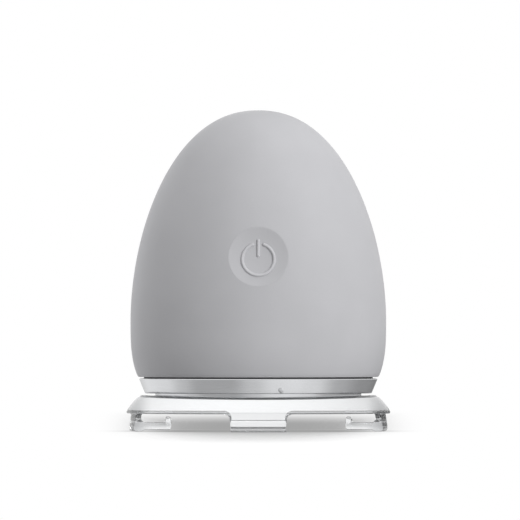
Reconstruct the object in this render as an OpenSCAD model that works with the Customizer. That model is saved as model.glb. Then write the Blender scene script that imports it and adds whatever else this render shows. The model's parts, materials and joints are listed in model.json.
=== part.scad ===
// Handheld ionic facial cleansing device: an egg-shaped soft grip over a hard shell,
// a metal band, a metal probe head and a clear clip-on ring that holds a cotton pad.
// Millimetres. +Z is up, the power button faces -Y, the feet of the ring stand on z = 0.
// Shapes that are oval from above are drawn round and then narrowed front to back.

/* [Grip] */
// Greatest width of the grip, left to right
body_w = 62; // [50:0.5:76]
// Depth of every oval as a share of its width
plan_ratio = 0.787; // [0.7:0.001:1]
// Height of the crown above the surface the ring stands on
body_top = 77.8; // [64:0.1:94]
// Height of the widest line of the grip
widest_z = 27; // [22:0.1:33]
// Fullness of the crown: the power of height in the grip's outline
crown_power = 1.847; // [1.6:0.001:2.2]
// Fullness of the shoulders: the root taken in the grip's outline
shoulder_root = 2.197; // [1.9:0.001:2.5]
// Depth below the widest line at which the lower outline would close
lower_reach = 27.4; // [24:0.1:34]
// Power of the lower outline
lower_power = 3.195; // [2:0.001:4]
// Thickness of the soft skin at the sides
skin_t = 1.4; // [1:0.1:2.2]
// Gap between the skin and the hard shell
skin_gap = 0.1; // [0.05:0.01:0.15]
// Thickness of the hard shell at the sides
shell_t = 1.8; // [1.4:0.1:2.4]
// Gap between the front and rear shells
parting_gap = 0.1; // [0.05:0.01:0.2]

/* [Power button] */
// Height of the middle of the button
button_z = 42.3; // [38:0.1:50]
// Diameter of the button recess
button_d = 14.6; // [11:0.1:17]
// Gap all round the button
button_gap = 0.12; // [0.08:0.01:0.3]
// Thickness of the soft button at its rim
button_t = 2.2; // [1.8:0.1:3]
// Depth of the hollow in the button's face
dish_depth = 0.6; // [0.2:0.05:1]
// Radius to the middle of the ring of the power sign
sign_r = 3.85; // [2.8:0.05:4.6]
// Width of the lines of the power sign
sign_line = 0.8; // [0.4:0.05:1.2]
// Height of the power sign above the hollow
sign_rise = 0.25; // [0.1:0.05:0.5]
// Half of the angle left open at the top of the power sign
sign_open = 20; // [12:1:35]
// Length of the stroke of the power sign
sign_stroke = 4.4; // [3:0.1:5.5]
// How far the power sign sits below the middle of the button
sign_drop = 0.5; // [0:0.05:1]
// Travel of the button when it is pressed
press_travel = 0.4; // [0.2:0.05:0.6]

/* [Metal band] */
// Height of the lower edge of the band
band_low = 9.2; // [8.5:0.05:11]
// Height of the upper edge of the band
band_top = 12.8; // [11.8:0.05:15]
// How far the upper edge of the band is set in from the edge of the grip
band_inset = 0.2; // [0.1:0.05:1]
// How far the lower edge of the band is set in from its upper edge
band_taper = 1.5; // [0.5:0.1:3]
// Thickness of the band
band_t = 1; // [0.6:0.1:1.4]
// Bevel along the upper edge of the band
band_bevel = 0.2; // [0.1:0.05:0.4]
// Gap of the dark seam between the band and the grip
seam_gap = 0.35; // [0.2:0.05:0.8]
// Radius of the dimple in the band
dimple_r = 0.75; // [0.4:0.05:1.2]
// Sideways place of the dimple
dimple_x = 5.45; // [-15:0.05:15]
// Height of the dimple
dimple_z = 10.1; // [9.9:0.05:12]
// Depth of the dimple
dimple_depth = 0.35; // [0.1:0.05:0.6]

/* [Probe head] */
// How far the side of the probe head is set in from the lower edge of the band
probe_inset = 2.45; // [2:0.05:4]
// Height of the lowest point of the probe head
probe_low = 5.2; // [4.9:0.05:7]
// Rise of the face of the probe head from its middle to its edge
probe_crown = 0.5; // [0.2:0.05:1]
// Radius of the rounded edge of the probe head
probe_round = 1.6; // [0.8:0.1:2.4]
// Sheet thickness of the probe head
probe_t = 0.8; // [0.5:0.05:1]
// Thickness of the insulating collar round the probe head
collar_t = 0.7; // [0.5:0.05:1]
// Gap between neighbouring layers of the head
layer_gap = 0.05; // [0.03:0.01:0.1]
// Thickness of the heater film
film_t = 0.25; // [0.15:0.05:0.5]

/* [Pad ring] */
// How far the upper corner of the ring stands out past the lower edge of the band
ring_step = 1.2; // [0.6:0.05:2.5]
// How far the lower rim of the ring stands out past its upper corner
ring_flare = 3.3; // [2:0.05:5]
// Height of the upper edge of the ring at the sides
ring_top = 9.05; // [8.2:0.05:10.8]
// How much lower the upper edge is at the front than at the sides
ring_sag = 1; // [0:0.05:1.5]
// Height of the underside of the rim
rim_low = 4.05; // [3.4:0.05:5]
// Height of the bead along the rim
rim_lip = 0.75; // [0.4:0.05:1.2]
// How far the bead stands out from the skirt
rim_bead = 0.12; // [0.05:0.01:0.3]
// Height of the thin lip along the top of the ring
top_lip = 0.5; // [0.3:0.05:0.8]
// How far the thin lip is set in
top_step = 0.25; // [0.1:0.05:0.5]
// Wall of the ring
ring_t = 1.2; // [0.8:0.05:1.8]
// Thickness of the top of the ring
ring_roof = 1.3; // [0.9:0.05:1.6]
// Gap between the ring and the probe head
ring_fit = 0.15; // [0.1:0.01:0.3]
// Width of each hook at its top
hook_w = 13.74; // [9:0.1:18]
// How much narrower each hook is at its foot
hook_taper = 0.54; // [0:0.02:1.5]
// Fillet where a hook leaves the rim
hook_fillet = 1.3; // [0.5:0.1:1.5]
// Distance of the outside of a side hook in from the rim
hook_inset = 1.1; // [0.6:0.05:1.6]
// Distance of the outside of the front and rear tabs in from the rim
tab_inset = 0.05; // [0.03:0.01:0.1]
// How far the toe of a side hook stands out past its wall
toe_flare = 0.4; // [0:0.05:0.5]
// Radius of the round toe under each hook
toe_round = 1.2; // [0.8:0.1:1.4]
// Wall of a hook
hook_t = 1.2; // [1:0.05:2]
// How far a side hook reaches in from its toe
hook_reach = 10.2; // [7:0.1:12]
// Height of the top of a hook's lip
lip_top = 2.2; // [1.8:0.05:2.8]
// Height of the underside of a hook's lip
lip_low = 0.4; // [0.2:0.05:0.8]
// Height of the nib at the end of a lip
nib_top = 3.6; // [3:0.05:3.8]
// Thickness of the nib
nib_t = 1.75; // [1:0.05:2.4]

/* [Electronics] */
// Greatest width of the main board
board_w = 30; // [20:0.5:34]
// Height of the main board
board_h = 37; // [26:0.5:40]
// Thickness of the boards
board_t = 1; // [0.6:0.1:1.6]
// Width of the switch
switch_w = 6.2; // [4.5:0.1:7]
// Height of the switch body above the board
switch_t = 2.4; // [2:0.1:3.5]
// Radius of the switch stem
stem_r = 1.7; // [1:0.1:2]
// Greatest width of the battery cell
cell_w = 24; // [16:0.5:28]
// Height of the battery cell
cell_h = 32; // [22:0.5:34]
// Thickness of the battery cell
cell_t = 6; // [4:0.1:8]
// Thickness of the tape under the cell
foam_t = 0.8; // [0.4:0.1:1.2]
// Thickness of the chassis plate
chassis_t = 1.4; // [1:0.1:2]
// Radius of the motor can
motor_r = 3.5; // [2.5:0.1:4.5]
// Length of the motor can
motor_l = 14; // [10:0.5:18]
// Radius of the motor shaft
shaft_r = 0.75; // [0.5:0.05:1]
// Width of the charging socket
port_w = 9; // [7:0.1:9.4]
// Height of the charging socket
port_h = 3.2; // [2.6:0.1:3.4]
// Length of the charging socket
port_l = 7.3; // [5.5:0.1:8]
// Height of the middle of the charging socket
port_z = 28.6; // [26:0.1:34]
// Gap all round the port plug
plug_gap = 0.15; // [0.1:0.01:0.3]

/* [Fastening] */
// Radius of the shank of every screw
screw_r = 1; // [0.8:0.05:1.2]
// Radius of the head of every screw
head_r = 1.9; // [1.5:0.05:2.2]
// Height of the head of every screw
head_h = 1.3; // [1:0.1:1.6]
// Wall round a screw in a boss
boss_wall = 1.5; // [1.1:0.1:2]

/* [Hidden] */

eps = 0.01;
round_fn = 96;
hole_fn = 48;
cavity = skin_t + skin_gap + shell_t;
skin_low = band_top + seam_gap;
shell_low = skin_low + 0.85;

// Outline of the grip: half-width at height z, for the surface set in by inset
function egg_r(z, inset) = let(w = body_w/2 - inset, top = body_top - inset)
  z >= widest_z
    ? w*pow(max(0, 1 - pow(min(1, (z - widest_z)/(top - widest_z)), crown_power)), 1/shoulder_root)
    : w*sqrt(max(0, 1 - pow((widest_z - z)/lower_reach, lower_power)));
// Half of the depth of the same surface, and its half-width at height z and depth y
function egg_y(z, inset) = plan_ratio*egg_r(z, inset);
function room_x(z, y, inset) = sqrt(max(0, pow(egg_r(z, inset), 2) - pow(y/plan_ratio, 2)));
function outline(inset, lower, upper) = let(top = body_top - inset) concat(
  [[0, skin_low - 2], [egg_r(skin_low, inset), skin_low - 2]],
  [for (i = [0 : lower - 1]) let(z = skin_low + (widest_z - skin_low)*i/lower) [egg_r(z, inset), z]],
  [for (i = [0 : upper - 1]) let(z = widest_z + (top - widest_z)*sin(90*i/upper))
    [egg_r(z, inset), z]],
  [[0, top]]);

// Narrows a round shape to the oval plan; squeeze undoes that for one piece of it
module oval() scale([1, plan_ratio, 1]) children();
module squeeze() scale([1, 1/plan_ratio, 1]) children();
// The same, made as a front and a rear half that meet
module oval_pair() for (s = [-1, 1]) oval() intersection() {
  children();
  translate([-body_w, s < 0 ? -body_w : 0, -1]) cube([2*body_w, body_w, body_top + 2]);
}
module egg_section(inset, z_low, lower, upper) intersection() {
  polygon(outline(inset, lower, upper));
  translate([0, z_low]) square([body_w, body_top]);
}
module egg(inset, z_low, lower, upper)
  rotate_extrude($fn = round_fn) egg_section(inset, z_low, lower, upper);
// The same, made as a left and a right half that meet
module oval_sides() for (s = [-1, 1]) oval() intersection() {
  children();
  translate([s < 0 ? -body_w : 0, -body_w, -1]) cube([body_w, 2*body_w, body_top + 2]);
}
// A rod along Y between two true depths, drawn in the round
module y_rod(x, z, r, y0, y1)
  translate([x, y0/plan_ratio, z]) rotate([-90, 0, 0])
    cylinder(r = r, h = (y1 - y0)/plan_ratio, $fn = hole_fn);
// A block between two true depths, drawn in the round
module y_block(x0, x1, y0, y1, z0, z1)
  translate([x0, y0/plan_ratio, z0]) cube([x1 - x0, (y1 - y0)/plan_ratio, z1 - z0]);
// A rounded slot along Y between two true depths, drawn in the round
module y_slot(w, h, z, y0, y1)
  translate([0, y0/plan_ratio, z]) rotate([-90, 0, 0]) linear_extrude((y1 - y0)/plan_ratio) {
    square([w - h, h], center = true);
    for (s = [-1, 1]) translate([s*(w - h)/2, 0]) circle(d = h, $fn = hole_fn);
  }
// An upright rod that stays round when the shape is narrowed
module z_rod(x, y, r, z0, z1)
  translate([x, y/plan_ratio, z0]) squeeze() cylinder(r = r, h = z1 - z0, $fn = hole_fn);
// Keeps what lies on one side of the parting plane: -1 front, 1 rear
module one_side(side) intersection() {
  children();
  translate([-body_w, side < 0 ? -body_w - parting_gap/2 : parting_gap/2, -1])
    cube([2*body_w, body_w, body_top + 2]);
}

// Frame of the button: local +Y runs inward, square to the surface at the button
button_y = -egg_y(button_z, 0);
button_tilt = atan((egg_y(button_z - 5, 0) - egg_y(button_z + 5, 0))/10);
module at_button() translate([0, button_y, button_z]) rotate([-button_tilt, 0, 0]) children();
module inward(r, y0, y1) translate([0, y0, 0]) rotate([-90, 0, 0]) cylinder(r = r, h = y1 - y0, $fn = round_fn);
button_r = button_d/2;
cap_r = button_r - button_gap;
wall_y = egg_y(button_z, 0) - egg_y(button_z, cavity);
function drop(r, inset) = let(w = egg_r(button_z, inset)) plan_ratio*(w - sqrt(w*w - r*r));
rim_y = drop(button_r, 0);
cap_back = rim_y + button_t;
flange_r = button_r + 1.2;
flange_y = wall_y + drop(flange_r, cavity) + press_travel + 0.15;
flange_t = 0.9;
post_y = flange_y + flange_t + 0.7;
switch_y = post_y + layer_gap + press_travel + 0.6;
board_y = switch_y + switch_t;
chassis_y = board_y + board_t + 2.4;
cell_y = chassis_y + chassis_t + foam_t;
// True height and depth of a point of the button's frame
function true_z(y, z) = button_z - y*sin(button_tilt) + z*cos(button_tilt);
function true_y(y, z) = button_y + y*cos(button_tilt) + z*sin(button_tilt);

board_low = -(board_h*0.54);
board_high = board_h*0.46;
board_half = min(board_w/2, body_w*0.25);
board_top_half = min(board_half - 3, room_x(true_z(board_y, board_high), true_y(board_y - 1, board_high), cavity) - 1);
post_low = [board_half - 3, board_low + 3.4];
post_high = [board_top_half - 2.4, board_high - 3];

cell_half = min(cell_w/2, body_w*0.2);
cell_low = -(cell_h*0.52);
cell_high = cell_h*0.48;

// Head: radii from the middle outward
band_top_r = egg_r(skin_low, 0) - band_inset;
band_low_r = band_top_r - band_taper;
probe_r = band_low_r - probe_inset;
drum_r = probe_r - probe_t - layer_gap;
drum_in = drum_r - 1.6;
collar_in = probe_r + layer_gap;
collar_out = collar_in + collar_t;
ring_in = collar_out + layer_gap;
band_slope = band_taper/(band_top - band_low);
function band_inner(z) = band_top_r - band_t - (band_top - z)*band_slope;
web_low = band_top - 0.4;
web_top = shell_low - 0.1;
frame_r = band_top_r - 1.25;
gasket_out = min(frame_r - 0.4, egg_r(shell_low, skin_t + skin_gap) - 0.6);
gasket_in = egg_r(shell_low, cavity) - 0.1;
gasket_low = web_top - 0.5;

screw_low_z = shell_low + 5;
screw_low_x = egg_r(screw_low_z, cavity) - 4.9;
screw_top_z = widest_z + (body_top - widest_z)*0.728;
screw_top_x = egg_r(screw_top_z, cavity) - 6.1;
screw_seat = 6;
lug_half = 1.2;
boss_r = screw_r + boss_wall;

foot_y = true_y(chassis_y, 0) - 1;
foot_low = web_top + layer_gap;
foot_top = foot_low + 1.5;
foot_screw_x = board_half - 4;
foot_screw_y = true_y(chassis_y, board_low) + 7;

motor_y = egg_y(shell_low, cavity)*0.45;
motor_z = web_top + 1.2 + motor_r + 0.4;
motor_x0 = -motor_l*0.75;
motor_x1 = motor_x0 + motor_l;
weight_r = motor_r - 0.3;
weight_t = 4;

port_back = egg_y(port_z, skin_t + skin_gap) - 0.8 - port_l;
socket_board_z = port_z - port_h/2 - board_t;
pad_w = port_w + 4.4;
pad_h = port_h + 4.4;

// Soft outer sleeve: open below, with the button's round window and the port's slot
module outer_sleeve() color("#b4b5b8") oval() difference() {
  egg(0, skin_low, 4, 16);
  egg(skin_t, skin_low - 1, 4, 12);
  squeeze() at_button() inward(button_r, -4, wall_y + 3);
  y_slot(pad_w, pad_h, port_z, 8, body_w);
}

// Pillars for the screws that join the two shells; the lower pair leaves room for a lug
module pillars(side) for (s = [-1, 1]) {
  far = side*body_w/2;
  y_rod(s*screw_top_x, screw_top_z, boss_r, min(0, far), max(0, far));
  near = side*(lug_half + layer_gap);
  y_rod(s*screw_low_x, screw_low_z, boss_r, min(near, far), max(near, far));
}
module shell_half(side) one_side(side) {
  difference() {
    egg(skin_t + skin_gap, shell_low, 4, 12);
    egg(cavity, shell_low - 1, 3, 10);
  }
  intersection() {
    egg(skin_t + skin_gap + 0.3, shell_low + 0.6, 3, 10);
    pillars(side);
  }
}

// Front shell: holes for the button and the screw points
module housing_front() color("#e4e4e2") oval_sides() difference() {
  shell_half(-1);
  y_rod(0, true_z(wall_y*0.7, 0), button_r + 0.5, -body_w/2, -egg_y(button_z, cavity)/2);
  for (s = [-1, 1]) {
    y_rod(s*screw_top_x, screw_top_z, screw_r + 0.02, -screw_seat - 1, 1);
    y_rod(s*screw_low_x, screw_low_z, screw_r + 0.02, -screw_seat - 1, 1);
  }
}

// Rear shell: wells for the screw heads, the port and two guides for its board
charge_half = port_w/2 + 3.5;
charge_y1 = min(port_back + port_l - 1.5,
  plan_ratio*sqrt(pow(egg_r(socket_board_z, cavity), 2) - charge_half*charge_half) - 0.3);
charge_y0 = charge_y1 - 11;
module housing_rear() color("#e0e0de") oval_sides() difference() {
  union() {
    shell_half(1);
    intersection() {
      egg(skin_t + skin_gap + 0.3, shell_low + 0.6, 3, 10);
      for (s = [-1, 1])
        y_block(s*(charge_half + 0.4) - 1.4, s*(charge_half + 0.4) + 1.4, charge_y0, body_w/2,
          socket_board_z - 1.4, socket_board_z + board_t + 1.4);
    }
  }
  y_block(-charge_half - 0.1, charge_half + 0.1, charge_y0 - 1, charge_y1 + 0.1,
    socket_board_z - 0.05, socket_board_z + board_t + 0.05);
  y_slot(port_w + 0.4, port_h + 0.4, port_z, charge_y1, body_w);
  for (s = [-1, 1]) for (p = [[screw_top_x, screw_top_z], [screw_low_x, screw_low_z]]) {
    y_rod(s*p[0], p[1], screw_r + 0.1, -1, screw_seat + 1);
    y_rod(s*p[0], p[1], head_r + 0.15, screw_seat, body_w/2);
  }
}

// Screws that join the shells
module screw(length) {
  cylinder(r = screw_r, h = length + eps, $fn = hole_fn);
  translate([0, 0, length]) difference() {
    cylinder(r = head_r, h = head_h, $fn = hole_fn);
    translate([0, 0, head_h - 0.7]) cylinder(r = screw_r*0.8, h = 1, $fn = 6);
  }
}
module housing_screws() color("#8d8f92")
  for (s = [-1, 1]) for (p = [[screw_top_x, screw_top_z], [screw_low_x, screw_low_z]])
    translate([s*p[0], -screw_seat + 0.2, p[1]]) rotate([-90, 0, 0]) screw(2*screw_seat - 0.2);

// Soft button: hollow face with the raised power sign
dish_r = (cap_r*cap_r + dish_depth*dish_depth)/(2*dish_depth);
dish_end = 1.35*asin(cap_r/dish_r);
module dish(rise, z) translate([0, rim_y + dish_depth - dish_r - rise, z]) rotate([-90, 0, 0])
  rotate_extrude($fn = 180) polygon(concat([[0, 0]],
    [for (i = [0 : 8]) dish_r*[sin(dish_end*(1 - i/8)), cos(dish_end*(1 - i/8))]]));
module sign_plan() {
  difference() {
    circle(r = sign_r + sign_line/2, $fn = round_fn);
    circle(r = sign_r - sign_line/2, $fn = round_fn);
    polygon([[0, 0], [-9*tan(sign_open), 9], [9*tan(sign_open), 9]]);
  }
  translate([-sign_line/2, sign_r + 1.15 - sign_stroke]) square([sign_line, sign_stroke]);
}
module power_button() color("#b0b1b4") at_button() {
  difference() {
    inward(cap_r, rim_y, cap_back);
    dish(0, 0);
  }
  difference() {
    translate([0, cap_back - 0.6, -sign_drop]) rotate([90, 0, 0]) linear_extrude(cap_back - rim_y) sign_plan();
    dish(sign_rise, -sign_drop);
  }
}

// Hard plunger behind the soft button
module button_actuator() color("#d8d8d6") at_button() {
  inward(cap_r - 0.6, cap_back + 0.02, flange_y + flange_t);
  inward(flange_r, flange_y, flange_y + flange_t);
  inward(stem_r - 0.1, flange_y + flange_t - eps, post_y);
}

// Stem of the switch
module switch_stem() color("#2b2b2c") at_button() inward(stem_r, post_y + 0.02, switch_y + 0.7);

// Switch body on the board
module tact_switch() color("#9a9c9f") at_button() difference() {
  translate([-switch_w/2, switch_y, -switch_w/2]) cube([switch_w, switch_t - 0.02, switch_w]);
  inward(stem_r + 0.05, switch_y - 1, switch_y + 0.75 + press_travel);
}

// Upright main board behind the button
module board_plan() difference() {
  polygon([[-board_half, board_low], [board_half, board_low], [board_half, board_high*0.35],
    [board_top_half, board_high], [-board_top_half, board_high], [-board_half, board_high*0.35]]);
  for (s = [-1, 1]) for (p = [post_low, post_high])
    translate([s*p[0], p[1]]) circle(r = screw_r*0.8 + 0.15, $fn = hole_fn);
}
module main_board() color("#2f6b46") at_button()
  translate([0, board_y + board_t, 0]) rotate([90, 0, 0]) linear_extrude(board_t) board_plan();

// Chips, coil and plugs on the back of the board, and the coil driver on its front
module on_board(x, z, w, h, t) translate([x - w/2, board_y + board_t + 0.02, z - h/2]) cube([w, t, h]);
module board_components() color("#1f2022") at_button() {
  on_board(-4, -4, 7, 7, 1);
  on_board(7, -2, 5, 5, 1.9);
  on_board(7, 4.5, 3, 2, 1.2);
  on_board(-7, 4, 2, 3, 0.8);
  on_board(0, min(board_high, cell_high) - 4, 8, 3.5, 2);
  on_board(-6, board_low + 3, 6, 3, 2);
}

// Pilot lamps on the front of the board
module status_leds() color("#f2f2ea") at_button()
  for (x = [-3, 0, 3]) translate([x - 0.8, board_y - 0.82, -10.4]) cube([1.6, 0.8, 0.8]);

// Screws that hold the board to the chassis
module board_screws() color("#8d8f92") at_button() for (s = [-1, 1]) for (p = [post_low, post_high])
  translate([s*p[0], 0, p[1]]) {
    inward(screw_r*0.8, board_y - 0.1, chassis_y);
    inward(screw_r*1.5, board_y - 1, board_y - 0.02);
  }

// Chassis: leaning plate, board posts, walls round the cell and a flat foot
chassis_half = board_half + 0.5;
foot_z = (foot_low - button_z + chassis_y*sin(button_tilt))/cos(button_tilt);
foot_front = true_y(chassis_y, foot_z) - 0.4;
module inner_chassis() color("#cfd0ce") difference() {
  union() {
    intersection() {
      at_button() {
        translate([-chassis_half, chassis_y, foot_z - 3])
          cube([2*chassis_half, chassis_t, cell_low - 1.4 - foot_z + 3]);
        translate([-cell_half - 1.6, chassis_y, cell_low - 1.5])
          cube([2*cell_half + 3.2, chassis_t, cell_high + 0.8 - cell_low + 1.5]);
        for (s = [-1, 1]) translate([s*(cell_half + 0.95) - 0.65, chassis_y, cell_low - 1.5])
          cube([1.3, chassis_t + 4, cell_high + 0.8 - cell_low + 1.5]);
        translate([-cell_half - 1.6, chassis_y, cell_low - 1.5])
          cube([2*cell_half + 3.2, chassis_t + 4, 1.2]);
        for (s = [-1, 1]) for (p = [post_low, post_high]) translate([s*p[0], 0, p[1]])
          inward(screw_r*0.8 + 1.2, board_y + board_t + 0.02, chassis_y + chassis_t);
      }
      translate([-body_w, -body_w, foot_low]) cube([2*body_w, 2*body_w, body_top]);
    }
    translate([-chassis_half, foot_front, foot_low]) cube([2*chassis_half, 9.5, 1.5]);
  }
  at_button() for (s = [-1, 1]) for (p = [post_low, post_high]) translate([s*p[0], 0, p[1]])
    inward(screw_r*0.8 + 0.02, board_y - 1, chassis_y + chassis_t + 1);
  at_button() translate([-6, chassis_y - 1, board_low - 3.4]) cube([12, chassis_t + 2, 2.6]);
  for (s = [-1, 1]) translate([s*foot_screw_x, foot_front + 6, foot_low - 1])
    cylinder(r = screw_r + 0.1, h = 4, $fn = hole_fn);
}

// Screws that hold the chassis to the base frame
foot_screw_l = 5.5;
module chassis_screws() color("#8d8f92") for (s = [-1, 1])
  translate([s*foot_screw_x, foot_front + 6, foot_top + 0.02 - foot_screw_l]) screw(foot_screw_l);

// Battery cell and the tape that holds it in the chassis
module battery_cell() color("#9fa6ad") at_button() {
  translate([-cell_half, cell_y, cell_low]) cube([2*cell_half, cell_t, cell_high - cell_low - 1.5]);
  translate([-cell_half + 2, cell_y + 1, cell_high - 1.5 - eps]) cube([2*cell_half - 4, cell_t - 2, 1.5]);
}
module battery_foam() color("#33343a") at_button()
  translate([-cell_half + 1, chassis_y + chassis_t + 0.02, cell_low + 1])
    cube([2*cell_half - 2, foam_t - 0.04, cell_high - cell_low - 4]);

// A wire through a list of points
module wire(path, r) for (i = [0 : len(path) - 2]) {
  d = path[i + 1] - path[i];
  l = norm(d);
  translate(path[i]) rotate([0, acos(d[2]/l), atan2(d[1], d[0])]) cylinder(r = r, h = l, $fn = 24);
  if (i > 0) translate(path[i]) sphere(r = r, $fn = 24);
}
lead_top = max(board_high, cell_high) + 2;
module battery_leads() color("#b23a32") at_button() for (x = [-1.2, 1.2])
  wire([[x, cell_y + cell_t/2, cell_high], [x, cell_y + cell_t/2, lead_top],
    [x, board_y + board_t + 1, lead_top], [x, board_y + board_t + 1, min(board_high, cell_high) - 2.2]], 0.45);

// Base frame: web, outer ring, drum inside the probe head, lugs and screw bosses
module base_frame() color("#3c3d40") oval_pair() difference() {
  union() {
    rotate_extrude($fn = round_fn) polygon([[0, web_low], [drum_in, web_low], [drum_in, head_low],
      [drum_r, head_low], [drum_r, web_low], [ring_in, web_low], [ring_in, band_low + 0.85],
      [band_inner(band_low + 0.85) - 0.1, band_low + 0.85], [frame_r - 0.02, web_low - 0.1],
      [frame_r, web_low + 0.1], [frame_r, web_top], [gasket_out, web_top], [gasket_out, gasket_low],
      [gasket_in, gasket_low], [gasket_in, web_top], [0, web_top]]);
    for (s = [-1, 1]) {
      y_block(s*screw_low_x - boss_r, s*screw_low_x + boss_r, -lug_half, lug_half,
        web_top - 0.5, screw_low_z + boss_r);
      z_rod(s*foot_screw_x, foot_front + 6, boss_r, web_low - 3.5, web_low + 0.5);
    }
  }
  for (s = [-1, 1]) {
    y_rod(s*screw_low_x, screw_low_z, screw_r + 0.1, -2*lug_half, 2*lug_half);
    z_rod(s*foot_screw_x, foot_front + 6, screw_r + 0.02, foot_top - foot_screw_l - 0.3, web_top + 1);
  }
  z_rod(-drum_in*0.6, 0, pin_r + 0.05, web_low - 1, web_top + 1);
  y_block(-4, 4, 0.5, 3.5, web_low - 1, web_top + 1);
  y_block(-1.6, 1.6, band_touch - 2.9, band_touch + 3, web_low + 0.25, web_low + 0.75);
  y_block(-1.6, 1.6, band_touch - 1, band_touch + 3, web_low - 1.1, web_low + 0.75);
  y_block(-1.6, 1.6, band_touch - 3.5, band_touch - 2.5, web_low + 0.25, web_top + 1);
}

// Seal between the base frame and the shells
module base_gasket() color("#1c1d1f") oval_pair() rotate_extrude($fn = round_fn)
  polygon([[gasket_in + 0.05, gasket_low + 0.02], [gasket_out - 0.05, gasket_low + 0.02],
    [gasket_out - 0.05, shell_low - 0.02], [gasket_in + 0.05, shell_low - 0.02]]);

// Metal band: a tapered ring with a flange turned in below
module electrode_band() color("#c9cbce") oval_pair() difference() {
  rotate_extrude($fn = round_fn) polygon([[band_low_r, band_low],
    [band_top_r - band_bevel*band_slope, band_top - band_bevel], [band_top_r - band_bevel, band_top],
    [band_top_r - band_t, band_top], [band_inner(band_low + 0.8), band_low + 0.8],
    [ring_in + 0.02, band_low + 0.8], [ring_in + 0.02, band_low]]);
  translate([dimple_x, 0, 0]) y_rod(0, dimple_z, dimple_r, -body_w/2,
    dimple_depth - plan_ratio*sqrt(pow(band_low_r + (dimple_z - band_low)*band_slope, 2) - dimple_x*dimple_x));
}

// Spring strip that touches the inside of the band and rises through the web
band_touch = plan_ratio*band_inner(web_low - 0.9) - 0.05;
module band_contact() color("#c8a862") {
  translate([-1.4, band_touch - 0.3, web_low - 0.9]) cube([2.8, 0.3, 1.6]);
  translate([-1.4, band_touch - 3.1, web_low + 0.4]) cube([2.8, 3.1, 0.3]);
  translate([-1.4, band_touch - 3.1, web_low + 0.4]) cube([2.8, 0.3, 3.6]);
}

// Insulating collar between the band and the probe head
module insulating_collar() color("#e9e9e6") oval_pair() rotate_extrude($fn = round_fn)
  polygon([[collar_in, band_low], [collar_out, band_low], [collar_out, web_low - 0.05],
    [collar_in, web_low - 0.05]]);

// Probe head: a shallow drawn cup with a gently domed face
edge_r = probe_r - probe_round;
head_z = probe_low + probe_crown + probe_round;
head_low = head_z + 0.4;
function face_z(r) = probe_low + probe_crown*pow(r/edge_r, 2);
face_steps = [0, 0.4, 0.7, 0.9, 1];
module probe_plate() color("#d5d6d8") oval_pair() rotate_extrude($fn = round_fn) polygon(concat(
  [for (s = face_steps) [edge_r*s, face_z(edge_r*s)]],
  [for (a = [-67.5 : 22.5 : 0]) [edge_r + probe_round*cos(a), head_z + probe_round*sin(a)]],
  [[probe_r, web_low - 0.05], [probe_r - probe_t, web_low - 0.05]],
  [for (a = [0 : -30 : -60]) [edge_r + (probe_round - probe_t)*cos(a), head_z + (probe_round - probe_t)*sin(a)]],
  [for (i = [4 : -1 : 0]) [edge_r*face_steps[i], face_z(edge_r*face_steps[i]) + probe_t]]));

// Warming film on the inside of the probe face
film_r = edge_r*0.8;
module under_face(r, z0, z1) difference() {
  rotate_extrude($fn = round_fn) polygon(concat(
    [for (s = [0, 0.5, 0.8, 1]) [r*s, face_z(r*s) + probe_t + z0]],
    [for (s = z1 > 0 ? [1, 0] : [1, 0.8, 0.5, 0]) [r*s, z1 > 0 ? z1 : face_z(r*s) + probe_t + z0 - z1]]));
  z_rod(-drum_in*0.6, 0, pin_r + 0.2, probe_low, web_top);
}
module heater_film() color("#c98b3c") oval_pair() under_face(film_r, 0.03, -film_t);

// Foam that presses the film against the probe face
module pressure_foam() color("#4a4b50") oval() difference() {
  under_face(film_r - 0.5, film_t + 0.05, web_low - 0.02);
  for (s = [-1, 1]) z_rod(s*foot_screw_x, foot_front + 6, boss_r + 0.2, probe_low, web_top);
}

// Sprung pin that carries current to the probe head
pin_r = 1;
module probe_contact_pin() color("#c8a862") translate([-drum_in*0.6, 0, 0]) {
  low = face_z(drum_in*0.6 + 1) + probe_t + 0.05;
  translate([0, 0, low]) cylinder(r = pin_r*0.6, h = 1.5, $fn = hole_fn);
  translate([0, 0, low + 1.2]) cylinder(r = pin_r, h = web_top + 1.6 - low - 1.2, $fn = hole_fn);
}

// Vibration motor lying across the base
module x_rod(x0, x1, r) translate([x0, motor_y, motor_z]) rotate([0, 90, 0])
  cylinder(r = r, h = x1 - x0, $fn = 72);
module vibration_motor() color("#b9bcc0") difference() {
  union() {
    x_rod(motor_x0, motor_x1, motor_r);
    x_rod(motor_x1 - eps, motor_x1 + 0.8, motor_r*0.4);
  }
  x_rod(motor_x1 - 6, motor_x1 + 2, shaft_r + 0.04);
}
module motor_end_cap() color("#2a2b2d") {
  x_rod(motor_x0 - 1.2, motor_x0 - 0.02, motor_r - 0.15);
  for (s = [-1, 1]) translate([motor_x0 - 2.2, motor_y + s*1.6 - 0.4, motor_z - 0.15]) cube([1.1, 0.8, 0.3]);
}
module motor_shaft() color("#d0d2d4") x_rod(motor_x1 - 5.8, motor_x1 + 1.2 + weight_t + 0.6, shaft_r);
module eccentric_weight() color("#7b7d80") difference() {
  x_rod(motor_x1 + 1.2, motor_x1 + 1.2 + weight_t, weight_r);
  translate([motor_x1, motor_y - weight_r - 1, motor_z + shaft_r + 0.7])
    cube([weight_t + 3, 2*weight_r + 2, weight_r]);
  x_rod(motor_x1, motor_x1 + 2*weight_t, shaft_r + 0.02);
}

// Cradle that grips the motor
module motor_mount() color("#d0d1cf") difference() {
  translate([motor_x0 + 2.5, motor_y - motor_r - 1.2, web_top + 0.03])
    cube([motor_l - 5, 2*motor_r + 2.4, motor_z + 1.4 - web_top]);
  x_rod(motor_x0, motor_x1, motor_r + 0.04);
}

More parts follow.
